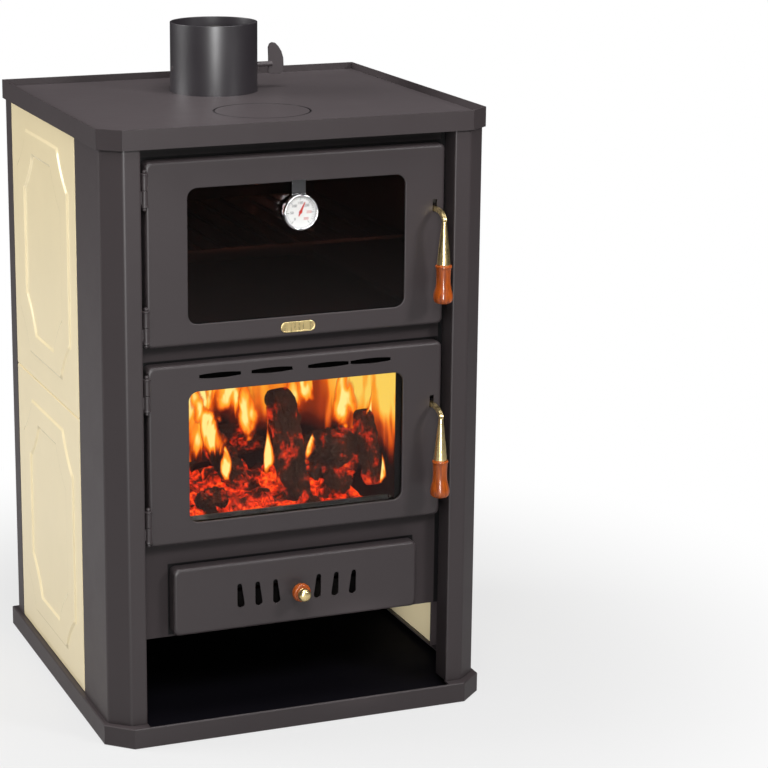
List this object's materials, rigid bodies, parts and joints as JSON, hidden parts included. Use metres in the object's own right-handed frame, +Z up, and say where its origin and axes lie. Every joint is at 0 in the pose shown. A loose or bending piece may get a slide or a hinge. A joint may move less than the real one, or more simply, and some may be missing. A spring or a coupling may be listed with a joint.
{
  "type": "wood stove",
  "caption": "Upright wood-burning stove with an oven over the fire, cream side panels, an ash drawer, a wood store and a water jacket.",
  "frame": {"origin": "middle of the base tray's underside, where the stove stands on the floor", "axes": "+X to the right seen from the doors, +Y to the back, +Z up; the doors face -Y"},
  "size_m": [0.576, 0.5938, 0.967],
  "materials": {
    "body_paint": "satin heat-proof paint, anthracite",
    "top_paint": "satin heat-proof paint, slightly lighter anthracite",
    "panel_enamel": "glossy cream glaze over a moulded panel",
    "raw_steel": "bare sheet steel darkened by heat",
    "cast_iron": "rough cast iron with ash",
    "oven_enamel": "black oven enamel",
    "dark_glass": "dark heat-proof glass",
    "fire_glass": "clear heat-proof glass",
    "seal_rope": "woven glass-fibre rope",
    "brass": "polished",
    "lacquered_wood": "turned, orange-brown, glossy lacquer",
    "chrome": "polished",
    "dial_white": "matt white with plain grey and red marks",
    "needle_red": "red and black"
  },
  "bodies": {
    "root": {"base_tray": "body_paint", "store_floor": "body_paint", "front_left_pillar": "body_paint", "front_right_pillar": "body_paint", "rear_casing": "body_paint", "left_lower_panel": "panel_enamel", "left_upper_panel": "panel_enamel", "right_lower_panel": "panel_enamel", "right_upper_panel": "panel_enamel", "top_frame": "top_paint", "cooking_plate": "top_paint", "flue_spigot": "top_paint", "front_plate": "body_paint", "carcass_shell": "raw_steel", "carcass_floor": "body_paint", "oven_box": "oven_enamel", "oven_rack": "raw_steel", "water_jacket": "raw_steel", "flow_stub": "raw_steel", "return_stub": "raw_steel", "hearth_plate": "cast_iron", "grate": "cast_iron", "log_guard": "cast_iron", "baffle_plate": "cast_iron", "oven_door_upper_hinge_pin": "body_paint", "oven_door_lower_hinge_pin": "body_paint", "fire_door_upper_hinge_pin": "body_paint", "fire_door_lower_hinge_pin": "body_paint", "oven_handle_catch": "raw_steel", "fire_handle_catch": "raw_steel"},
    "oven_door": {"oven_door_panel": "body_paint", "oven_door_glass": "dark_glass", "oven_door_liner": "raw_steel", "oven_door_seal": "seal_rope", "oven_door_upper_hinge": "body_paint", "oven_door_lower_hinge": "body_paint", "thermometer_case": "chrome", "thermometer_face": "dial_white", "brass_plate": "brass"},
    "fire_door": {"fire_door_panel": "body_paint", "fire_door_glass": "fire_glass", "fire_door_liner": "raw_steel", "fire_door_seal": "seal_rope", "fire_door_upper_hinge": "body_paint", "fire_door_lower_hinge": "body_paint"},
    "oven_handle": {"oven_handle_lever": "brass", "oven_handle_cone": "brass", "oven_handle_grip": "lacquered_wood"},
    "fire_handle": {"fire_handle_lever": "brass", "fire_handle_cone": "brass", "fire_handle_grip": "lacquered_wood"},
    "ash_drawer": {"drawer_front": "body_paint", "ash_pan": "raw_steel", "knob_spindle": "brass", "knob_ring": "lacquered_wood"},
    "damper": {"damper_spindle": "top_paint", "damper_flap": "raw_steel"},
    "lid": {"hob_lid": "top_paint"},
    "needle": {"thermometer_needle": "needle_red"}
  },
  "joints": [
    {"name": "oven_door_hinge", "type": "hinge", "parent": "root", "child": "oven_door", "pos_m": [-0.222, -0.25, 0.6975], "axis": [0, 0, -1], "range_deg": [0, 115]},
    {"name": "fire_door_hinge", "type": "hinge", "parent": "root", "child": "fire_door", "pos_m": [-0.222, -0.25, 0.413], "axis": [0, 0, -1], "range_deg": [0, 115]},
    {"name": "oven_handle_pivot", "type": "hinge", "parent": "oven_door", "child": "oven_handle", "pos_m": [0.205, -0.2365, 0.735], "axis": [-1, 0, 0], "range_deg": [0, 40]},
    {"name": "fire_handle_pivot", "type": "hinge", "parent": "fire_door", "child": "fire_handle", "pos_m": [0.205, -0.2365, 0.4505], "axis": [-1, 0, 0], "range_deg": [0, 40]},
    {"name": "ash_drawer_slide", "type": "slide", "parent": "root", "child": "ash_drawer", "axis": [0, -1, 0], "range_m": [0, 0.24]},
    {"name": "damper_turn", "type": "hinge", "parent": "root", "child": "damper", "pos_m": [0, 0.108, 0.9], "axis": [1, 0, 0], "range_deg": [0, 90]},
    {"name": "lid_lift", "type": "slide", "parent": "root", "child": "lid", "axis": [0, 0, 1], "range_m": [0, 0.06]},
    {"name": "needle_turn", "type": "hinge", "parent": "oven_door", "child": "needle", "pos_m": [0, -0.2547, 0.746], "axis": [0, 1, 0], "range_deg": [-160, 110]}
  ]
}
